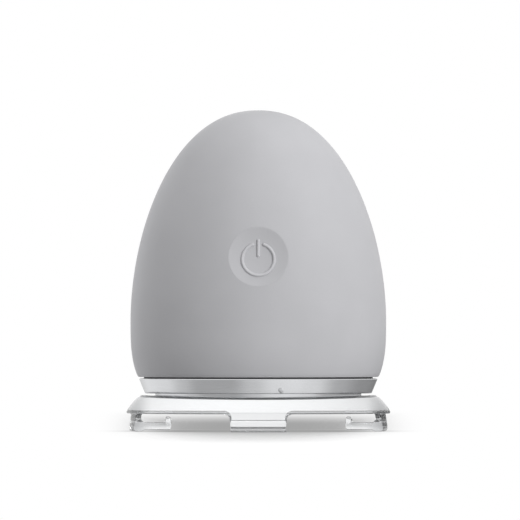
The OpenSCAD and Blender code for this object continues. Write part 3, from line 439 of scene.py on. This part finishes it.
def surface_depth(x, z):
    """How far in the grip's surface lies from the button's plane, at a place in that plane."""
    out, inside = -4.0, 9.0
    for _ in range(36):
        y = (out + inside)/2
        p = BUTTON_FRAME @ Vector((x, y, z))
        w = half_width(p.z)
        if w > 0 and (p.x/w)**2 + (p.y/(PLAN_RATIO*w))**2 < 1:
            inside = y
        else:
            out = y
    return out


RIM_DEPTHS = [surface_depth(CAP_R*math.sin(math.radians(a)), CAP_R*math.cos(math.radians(a))) for a in range(360)]


def dish(x, z):
    """Depth of the button's hollow face, which meets the grip's surface all round."""
    angle = math.degrees(math.atan2(x, z)) % 360
    low = int(angle) % 360
    rim = RIM_DEPTHS[low] + (RIM_DEPTHS[(low + 1) % 360] - RIM_DEPTHS[low])*(angle - int(angle))
    share = min(1.0, math.hypot(x, z)/CAP_R)**2
    return rim*share + (RIM_Y + DISH_DEPTH)*(1 - share)


def button_cap():
    """The soft cap, drawn with its face up: height is minus the depth below the button's plane."""
    back = RIM_Y + CAP_T
    face = [(CAP_R*k/24, 0.0) for k in range(24)]
    edge = [(CAP_R - 0.03 + 0.03*math.sin(a), 0.03*(math.cos(a) - 1)) for a in (0, 0.8, math.pi/2)]
    bm = turned(face + edge + [(CAP_R, -0.6), (CAP_R, -1.0), (0, -1.0)], 192, closed=False)
    for v in bm.verts:
        depth = dish(v.co.x, v.co.y)
        v.co.z = -back if v.co.z < -0.9 else v.co.z - depth
    facing(bm)
    bmesh.ops.recalc_face_normals(bm, faces=bm.faces)
    return bm


def bead(length, lay, steps):
    """A raised line with round ends and a half-round top; lay gives the place of a point along and across it."""
    r = SIGN_LINE/2
    ends = [(r*math.sin(a), r*math.cos(a)) for a in (math.radians(15*k) for k in range(7))]
    line = [(x, length/2 + z) for x, z in ends]
    line += [(r, length/2 - length*k/steps) for k in range(1, steps)]
    line += [(x, -length/2 - z) for x, z in reversed(ends)]
    bm = turned(line, 20, closed=False)
    for v in bm.verts:
        x, z = lay(v.co.z, v.co.x)
        v.co = BUTTON_FRAME @ Vector((x, dish(x, z) - v.co.y*SIGN_RISE/r, z))
    bmesh.ops.recalc_face_normals(bm, faces=bm.faces)
    return bm


finished(as_object("button_cap", button_cap()), silicone, "button", "button_silicone", "power_button")
arc = as_object("sign_arc", bead(
    SIGN_R*(2*math.pi - SIGN_OPENING),
    lambda along, across: (-(SIGN_R + across)*math.sin(along/SIGN_R),
                           -SIGN_DROP - (SIGN_R + across)*math.cos(along/SIGN_R)), 120))
finished(arc, highlit_sign_silicone, "button", "button_silicone")
stroke = as_object("sign_stroke", bead(STROKE_L, lambda along, across: (across, STROKE_Z + along), 24))
finished(stroke, highlit_sign_silicone, "button", "button_silicone")


# Metal band and probe head

def metal_band():
    """The tapered band with its flange inwards at the foot."""
    flange_z, flange_r = BAND_LOW + 0.8, RING_IN + 0.02
    inner = BAND_TOP_R - BAND_T - (BAND_TOP - flange_z)*SLOPE
    edge = rounded([(BAND_LOW_R, BAND_LOW), (BAND_TOP_R - BAND_BEVEL*SLOPE, BAND_TOP - BAND_BEVEL),
                    (BAND_TOP_R - BAND_BEVEL, BAND_TOP), (BAND_TOP_R - BAND_T, BAND_TOP),
                    (inner, flange_z), (flange_r, flange_z), (flange_r, BAND_LOW)],
                   [0.08, 0.06, 0.06, 0.05, 0, 0, 0.05], 3)
    # The outer face gets rings of its own, so that a cut in it stays clean
    line = []
    for here, ahead in zip(edge, edge[1:] + edge[:1]):
        line.append(here)
        if ahead[1] - here[1] > 2 and here[0] > BAND_LOW_R - 0.5:
            line += [(here[0] + (ahead[0] - here[0])*k/22, here[1] + (ahead[1] - here[1])*k/22) for k in range(1, 22)]
    return narrow(turned(line, 384))


def probe_head():
    """A deep cup with a slightly crowned face and a rounded edge."""
    edge_r = PROBE_R - PROBE_ROUND
    head_z = PROBE_LOW + PROBE_CROWN + PROBE_ROUND
    face = [(edge_r*k/20, PROBE_LOW + PROBE_CROWN*(k/20)**2) for k in range(21)]
    curve = [(edge_r + PROBE_ROUND*math.cos(math.radians(a)), head_z + PROBE_ROUND*math.sin(math.radians(a)))
             for a in range(-84, 1, 7)]
    top = [(PROBE_R, PROBE_TOP), (PROBE_R - PROBE_T, PROBE_TOP)]
    thin = PROBE_ROUND - PROBE_T
    under = [(edge_r + thin*math.cos(math.radians(a)), head_z + thin*math.sin(math.radians(a)))
             for a in range(0, -85, -12)]
    inside = [(r, z + PROBE_T) for r, z in reversed(face)]
    return narrow(turned(face + curve + top + under + inside, 224, closed=False))


def dimple_ball(radius, depth, out):
    """A ball, flattened front to back, that stands so far out of the band at its dimple."""
    band_r = BAND_LOW_R + (DIMPLE_Z - BAND_LOW)*SLOPE
    face_y = -PLAN_RATIO*math.sqrt(band_r**2 - DIMPLE_X**2)
    bm = bmesh.new()
    bmesh.ops.create_icosphere(bm, subdivisions=4, radius=radius)
    bmesh.ops.scale(bm, vec=(1, depth, 1), verts=bm.verts)
    bmesh.ops.rotate(bm, cent=(0, 0, 0), matrix=Matrix.Rotation(math.atan(SLOPE), 3, "X"), verts=bm.verts)
    bmesh.ops.translate(bm, vec=(DIMPLE_X, face_y - out, DIMPLE_Z), verts=bm.verts)
    return bm


band = as_object("metal_band", metal_band())
combined(band, dimple_ball(DIMPLE_R, 1, DIMPLE_OUT), "DIFFERENCE")
# A grey disc sunk in the dimple: painted shade that darkens the pit
pit_shade_disc = as_object("dimple_shade_disc", dimple_ball(PIT_SHADE_R, 0.5, -PIT_SHADE_IN))
finished(pit_shade_disc, pit_shade_grey, "device", "black_plastic")
finished(band, satin_metal, "device", "satin_metal", "electrode_band")
finished(as_object("probe_head", probe_head()), polished_steel, "device", "polished_metal", "probe_plate")


# Clear ring with hooks

def skirt_r(z):
    """Radius of the skirt's flare at a height."""
    s = (RING_TOP - z)/(RING_TOP - RIM_Z)
    return RING_TOP_R + (RING_R - RIM_BEAD - RING_TOP_R)*(0.55*s + 0.45*math.sin(math.pi/2*s))


def ring_body():
    """The skirt with its lip, bead and bore, turned round and then pressed down at the front and rear."""
    top, low, lip_z, hollow_z, bore_z = RING_TOP, RIM_LOW, RING_TOP - TOP_LIP, RING_TOP - RING_ROOF, 4.88
    outer_heights = [lip_z - (lip_z - 4.9)*k/18 for k in range(19)]
    inner_heights = [4.8 + (hollow_z - 4.8)*k/10 for k in range(11)]
    # Each corner of the section, then the radius that rounds it
    section = [((BORE_R, bore_z), 0.2), ((BORE_R, top), 0.25), ((skirt_r(top) - TOP_STEP, top), 0.12),
               ((skirt_r(lip_z) - TOP_STEP, lip_z), 0.08)]
    section += [((skirt_r(z), z), 0.1 if k == 0 else 0.03 if k == 18 else 0) for k, z in enumerate(outer_heights)]
    section += [((RING_R - 0.02, 4.85), 0.05), ((RING_R, 4.6), 0.12), ((RING_R - 0.16, low), 0.12),
                ((RING_R - RING_T - 0.16, low), 0.2)]
    section += [((skirt_r(z) - RING_T, z), 0.25 if k == 10 else 0) for k, z in enumerate(inner_heights)]
    section += [((BORE_R + RING_T, hollow_z), 0.25), ((BORE_R + RING_T, bore_z), 0.2)]
    bm = turned(rounded([corner for corner, _ in section], [radius for _, radius in section], 4), 256)
    for v in bm.verts:
        r = math.hypot(v.co.x, v.co.y)
        rise = max(0.0, (v.co.z - RIM_Z)/(top - RIM_Z))
        fall = RING_SAG*max(0.0, 1 - (v.co.x/RING_TOP_R)**2)*rise
        share = min(1.0, max(0.0, (r - BORE_R)/(skirt_r(v.co.z) - BORE_R)))
        wider = (skirt_r(v.co.z - fall) - skirt_r(v.co.z))*share if fall > 0 else 0.0
        v.co = (v.co.x*(r + wider)/r, v.co.y*(r + wider)/r, v.co.z - fall)
    return bm


NIB_R = RING_R - 0.7 - HOOK_REACH


def hook_line(outer, toe, root, neck, heel):
    """Section of a hook, from its root in the rim down round the toe and in to the nib. Its outer face
    leans out to the toe between the heights neck and heel."""
    wall = outer - HOOK_T
    points = [(wall, RIM_LOW + root), (outer, RIM_LOW + root), (outer, neck), (toe, heel), (toe, 0.0),
              (toe - 2.0, 0.0), (toe - 2.7, LIP_LOW), (NIB_R, LIP_LOW), (NIB_R, NIB_TOP),
              (NIB_R + NIB_T, NIB_TOP), (NIB_R + NIB_T, LIP_TOP), (wall, LIP_TOP)]
    radii = [0, 0, 0.3, 0.4, 1.15, 0.5, 0.5, 0.75, 0.75, 0.75, 0.35, 0.95]
    line, fine = rounded(points, radii, 6), []
    for here, ahead in zip(line, line[1:] + line[:1]):
        parts = 1 + int(abs(ahead[1] - here[1])/0.2)
        fine += [tuple(Vector(here).lerp(Vector(ahead), k/parts)) for k in range(parts)]
    return fine


def hook(outer, toe, root, neck, heel, turn):
    """One hook: its section carried across its width, narrower at the foot, with soft side edges."""
    section = hook_line(outer, toe, root, neck, heel)
    across = HOOK_W/2
    normals = []
    for i, p in enumerate(section):
        along = Vector(section[(i + 1) % len(section)]) - Vector(section[i - 1])
        normals.append(Vector((-along.y, along.x)).normalized())
    area = sum(a[0]*b[1] - b[0]*a[1] for a, b in zip(section, section[1:] + section[:1]))
    inward = 1 if area > 0 else -1
    side = turn % 180 != 0

    def half_at(z):
        if z > RIM_LOW - HOOK_FILLET:
            up = min(z, RIM_LOW) - (RIM_LOW - HOOK_FILLET)
            return across + HOOK_FILLET - math.sqrt(HOOK_FILLET**2 - up*up)
        return across - HOOK_TAPER/2*(RIM_LOW - HOOK_FILLET - z)/(RIM_LOW - HOOK_FILLET + 1)

    soft = 0.22
    stations = [-1 + (1 - math.cos(math.radians(a)))*soft/across for a in (0, 20, 40, 60, 90)]
    stations += [-1 + 2*soft/across + (2 - 4*soft/across)*k/14 for k in range(15)]
    stations += [-s for s in reversed(stations[:5])]

    def place(i, s):
        edge = max(0.0, (abs(s) - (1 - soft/across))/(soft/across))
        inset = soft*(1 - math.sqrt(max(0.0, 1 - edge*edge)))
        p = Vector(section[i]) + normals[i]*inward*inset
        lateral = s*half_at(p.y)*(1/PLAN_RATIO if side else 1)
        # The nib runs straight; the wall follows the rim
        bend = min(1.0, max(0.0, (p.x - NIB_R)/(outer - HOOK_T - NIB_R)))
        depth = p.x - bend*(p.x - math.sqrt(p.x*p.x - lateral*lateral))
        return Matrix.Rotation(math.radians(turn), 3, "Z") @ Vector((lateral, -depth, p.y))

    bm = bmesh.new()
    mark = bm.verts.layers.int.new("mark")
    first = [bm.verts.new(place(i, stations[0])) for i in range(len(section))]
    for i, v in enumerate(first):
        v[mark] = i
    edges = [bm.edges.new((v, first[i - 1])) for i, v in enumerate(first)]
    for s in stations[1:]:
        out = bmesh.ops.extrude_edge_only(bm, edges=edges)
        edges = [g for g in out["geom"] if isinstance(g, bmesh.types.BMEdge)]
        last = [g for g in out["geom"] if isinstance(g, bmesh.types.BMVert)]
        for v in last:
            v.co = place(v[mark], s)
    ends = [bm.faces.new(first), bm.faces.new(sorted(last, key=lambda v: v[mark]))]
    bmesh.ops.recalc_face_normals(bm, faces=bm.faces)
    bmesh.ops.triangulate(bm, faces=ends)
    return bm


ring = as_object("clear_ring", ring_body())
for turn in (90, 270):
    side_hook = hook(RING_R - 1.1, RING_R - 0.7, root=1.3, neck=RIM_LOW - 0.2, heel=1.3, turn=turn)
    combined(ring, side_hook, "UNION")
for turn in (0, 180):
    tab_hook = hook(RING_R - 0.05, RING_R + 0.3, root=0.6, neck=2.9, heel=2.6, turn=turn)
    combined(ring, tab_hook, "UNION")
ring.data.transform(Matrix.Diagonal((1, PLAN_RATIO, 1, 1)))
finished(ring, clear_plastic, "ring", "clear_plastic", "pad_ring", sharp=40)


# Port plug

def nail_lip():
    """The small soft-edged bar near the plug's foot that a fingernail catches."""
    bm = bmesh.new()
    bmesh.ops.create_cube(bm, size=1)
    inner_y, outer_y = PLAN_RATIO*half_width(PORT_Z, 0.6), PLAN_RATIO*half_width(PORT_Z) + 0.6
    bmesh.ops.scale(bm, vec=(4.8, outer_y - inner_y, 0.8), verts=bm.verts)
    bmesh.ops.translate(bm, vec=(0, (inner_y + outer_y)/2, PORT_Z - PAD_H/2 + 1.1), verts=bm.verts)
    bmesh.ops.bevel(bm, geom=bm.edges, offset=0.22, segments=4, profile=0.5, affect="EDGES", material=-1)
    return bm


plug = as_object("charging_plug", grip_shell())
combined(plug, stadium(PAD_W - 2*PLUG_GAP, PAD_H - 2*PLUG_GAP, 8, 40), "INTERSECT")
stub_y, skin_y = PORT_BACK + PORT_L + PLUG_GAP, PLAN_RATIO*half_width(PORT_Z, SKIN_T)
combined(plug, stadium(PORT_W, PORT_H - 0.1, stub_y, skin_y + 0.3), "UNION")
combined(plug, nail_lip(), "UNION")
finished(plug, silicone, "plug", "grip_silicone", "port_plug")


# Floor and light

def white_ground():
    """Matt white paper; it keeps the shadow, has a painted contact shadow near the device, and goes to clean white
    away from the device.
    """
    material, tree = new_material("white_paper")
    place = add(tree, "ShaderNodeTexCoord")
    fibre = add(tree, "ShaderNodeTexNoise", {"Scale": 1/(1.5*MM), "Detail": 3.0}, {"Vector": place.outputs["Object"]})
    bump = add(tree, "ShaderNodeBump", {"Distance": 0.01*MM}, {"Height": fibre.outputs["Fac"]})
    # Painted contact shadow: ambient occlusion darkens the paper's colour where the device stands near it
    near = add(tree, "ShaderNodeAmbientOcclusion", {"Distance": 30*MM})
    tone = add(tree, "ShaderNodeMapRange", {"From Min": 0.53, "From Max": 0.91}, {"Value": near.outputs["AO"]})
    deep = add(tree, "ShaderNodeMath", {"operation": "POWER", 1: 2.0}, {0: tone.outputs[0]})
    contact_shadow_tint = add(tree, "ShaderNodeMix", {"data_type": "RGBA", 6: (0, 0, 0, 1), 7: linear("#F4F4F4")},
               {0: deep.outputs[0]})
    paper = add(tree, "ShaderNodeBsdfPrincipled", {"Roughness": 0.9, "Specular IOR Level": 0.1},
                {"Base Color": contact_shadow_tint.outputs[2], "Normal": bump.outputs[0]})
    # An even glow added over the whole paper keeps its shadow pale
    glow = add(tree, "ShaderNodeEmission", {"Strength": 0.36})
    both = add(tree, "ShaderNodeAddShader", links={0: paper.outputs[0], 1: glow.outputs[0]})
    # It fades to white where it bends up or down, far out, and beside the device
    parts = add(tree, "ShaderNodeSeparateXYZ", links={0: place.outputs["Object"]})
    bent = add(tree, "ShaderNodeMath", {"operation": "ABSOLUTE"}, {0: parts.outputs["Z"]})
    plan = add(tree, "ShaderNodeCombineXYZ", links={"X": parts.outputs["X"], "Y": parts.outputs["Y"]})
    far = add(tree, "ShaderNodeVectorMath", {"operation": "LENGTH"}, {0: plan.outputs[0]})
    beside = add(tree, "ShaderNodeMath", {"operation": "ABSOLUTE"}, {0: parts.outputs["X"]})
    fades = [add(tree, "ShaderNodeMapRange", {"interpolation_type": "SMOOTHSTEP", "From Min": start*MM,
                                              "From Max": end*MM}, {"Value": measure}).outputs[0]
             for measure, start, end in ((bent.outputs[0], 1.4, 5), (far.outputs["Value"], 42, 72),
                                         (beside.outputs[0], 18, 42))]
    edge = add(tree, "ShaderNodeMath", {"operation": "MAXIMUM"}, {0: fades[0], 1: fades[1]})
    fade = add(tree, "ShaderNodeMath", {"operation": "MAXIMUM"}, {0: edge.outputs[0], 1: fades[2]})
    white = add(tree, "ShaderNodeEmission", {"Color": (1, 1, 1, 1), "Strength": 1.0})
    ground = add(tree, "ShaderNodeMixShader", links={0: fade.outputs[0], 1: both.outputs[0], 2: white.outputs[0]})
    # The light that it throws back on the device is dimmer
    shade = add(tree, "ShaderNodeBsdfDiffuse", {"Color": linear("#A6A6A6")}, {"Normal": bump.outputs[0]})
    bounce = add(tree, "ShaderNodeLightPath").outputs["Is Diffuse Ray"]
    mixed = add(tree, "ShaderNodeMixShader", links={0: bounce, 1: ground.outputs[0], 2: shade.outputs[0]})
    # From below and from behind the sweep it is not seen
    behind = add(tree, "ShaderNodeNewGeometry").outputs["Backfacing"]
    clear = add(tree, "ShaderNodeBsdfTransparent")
    sheet = add(tree, "ShaderNodeMixShader", links={0: behind, 1: mixed.outputs[0], 2: clear.outputs[0]})
    add(tree, "ShaderNodeOutputMaterial", links={"Surface": sheet.outputs[0]}).is_active_output = True
    return material


def floor():
    """Paper that lies flat under the device, droops a little in front and sweeps up behind."""
    bm = bmesh.new()
    droop = [(-900, -90), (-300, -28), (-120, -10), (-60, -4.6), (-45, -3.1), (-36, -1.9), (-31, -0.9)]
    flat = [(-27, 0), (27, 0)]
    sweep = [(28, 0.25), (30, 1), (33, 2.5), (36, 4), (42, 7), (50, 11)]
    verts = [bm.verts.new((-1500, y, z)) for y, z in droop + flat + sweep]
    edges = [bm.edges.new(pair) for pair in zip(verts, verts[1:])]
    out = bmesh.ops.extrude_edge_only(bm, edges=edges)
    moved = [g for g in out["geom"] if isinstance(g, bmesh.types.BMVert)]
    bmesh.ops.translate(bm, vec=(3000, 0, 0), verts=moved)
    bmesh.ops.recalc_face_normals(bm, faces=bm.faces)
    obj = as_object("floor", bm)
    obj.data.transform(Matrix.Scale(MM, 4))
    obj.data.materials.append(white_ground())
    obj.data.shade_smooth()
    return obj


paper_floor = floor()


def reflector():
    """A glowing ring round the foot, seen only in polished metal: its greys paint the reflections that shade the
    band.
    """
    material, tree = new_material("grey_reflector_glow")
    place = add(tree, "ShaderNodeTexCoord")
    turn = add(tree, "ShaderNodeTexGradient", {"gradient_type": "RADIAL"}, {0: place.outputs["Object"]})
    greys = add(tree, "ShaderNodeValToRGB", links={0: turn.outputs["Fac"]})
    # The direction round the foot in degrees, from the right, and the grey of the glow there
    stops = [(-90, 1.02), (-73, 0.95), (-58, 0.7), (-44, 0.5), (-20, 0.5), (-4, 0.75), (12, 0.98), (26, 1.03),
             (41, 0.93), (62, 0.54), (90, 0.37), (139, 0.25), (200, 0.35), (232, 0.79), (258, 1.03)]
    ramp = greys.color_ramp
    ramp.interpolation = "EASE"
    for k, (azimuth, grey) in enumerate(stops):
        stop = ramp.elements[k] if k < 2 else ramp.elements.new(1)
        stop.position, stop.color = (azimuth + 90)/360, (grey, grey, grey, 1)
    light = add(tree, "ShaderNodeEmission", links={"Color": greys.outputs[0]})
    add(tree, "ShaderNodeOutputMaterial", links={"Surface": light.outputs[0]}).is_active_output = True
    bm = bmesh.new()
    profile = [bm.verts.new((r*MM, 0, z*MM)) for r, z in
               ((33, 0.5), (40, 1.8), (50, 4.8), (62, 10.5), (140, 13))]
    edges = [bm.edges.new(pair) for pair in zip(profile, profile[1:])]
    bmesh.ops.spin(bm, geom=profile + edges, cent=(0, 0, 0), axis=(0, 0, 1), dvec=(0, 0, 0),
                   angle=2*math.pi, steps=64, use_merge=True)
    bmesh.ops.recalc_face_normals(bm, faces=bm.faces)
    obj = as_object("reflector", bm)
    obj.data.materials.append(material)
    obj.visible_camera = obj.visible_diffuse = obj.visible_transmission = obj.visible_shadow = False


reflector()


def softbox(name, place, aim, size, power, state, *objects):
    """A square lamp at a place in millimetres, turned to face a point. Flags round it keep its light off
    some objects, or on them alone."""
    data = bpy.data.lights.new(name, "AREA")
    data.shape, data.size, data.size_y, data.energy = "RECTANGLE", size*MM, size*MM, power
    lamp = bpy.data.objects.new(name, data)
    bpy.context.scene.collection.objects.link(lamp)
    lamp.location = Vector(place)*MM
    lamp.rotation_euler = (Vector(place) - Vector(aim)).to_track_quat("Z", "Y").to_euler()
    lamp.visible_glossy = False
    flags = bpy.data.collections.new(name + "_flags")
    for k, obj in enumerate(objects):
        flags.objects.link(obj)
        flags.collection_objects[k].light_linking.link_state = state
    lamp.light_linking.receiver_collection = flags


softbox("key_softbox", (500, -560, 300), (0, 0, 40), 420, 5.15, "EXCLUDE", paper_floor, ring)
softbox("side_softbox", (-740, 340, 160), (0, 0, 40), 400, 3.1, "EXCLUDE", paper_floor, ring)
softbox("top_softbox", (0, 60, 620), (0, 0, 30), 500, 1.0, "EXCLUDE", paper_floor)
softbox("ring_softbox", (-130, -720, 330), (0, 0, 8), 400, 4.1, "INCLUDE", ring)
softbox("floor_front_softbox", (0, -450, 780), (0, 0, 0), 350, 1.3, "INCLUDE", paper_floor)
softbox("floor_top_softbox", (0, 0, 800), (0, 0, 0), 900, 2.0, "INCLUDE", paper_floor)

world = bpy.data.worlds.new("World")
bpy.context.scene.world = world
world.use_nodes = True
sky = world.node_tree
sky.nodes.clear()
# White to the eye and in reflections, and a dim fill light on matt surfaces
bounce = add(sky, "ShaderNodeLightPath").outputs["Is Diffuse Ray"]
level = add(sky, "ShaderNodeMapRange", {"To Min": 1.0, "To Max": 0.4}, {"Value": bounce})
backdrop = add(sky, "ShaderNodeBackground", {"Color": (1, 1, 1, 1)}, {"Strength": level.outputs[0]})
add(sky, "ShaderNodeOutputWorld", links={"Surface": backdrop.outputs[0]})

bpy.context.scene.view_settings.view_transform = "Standard"
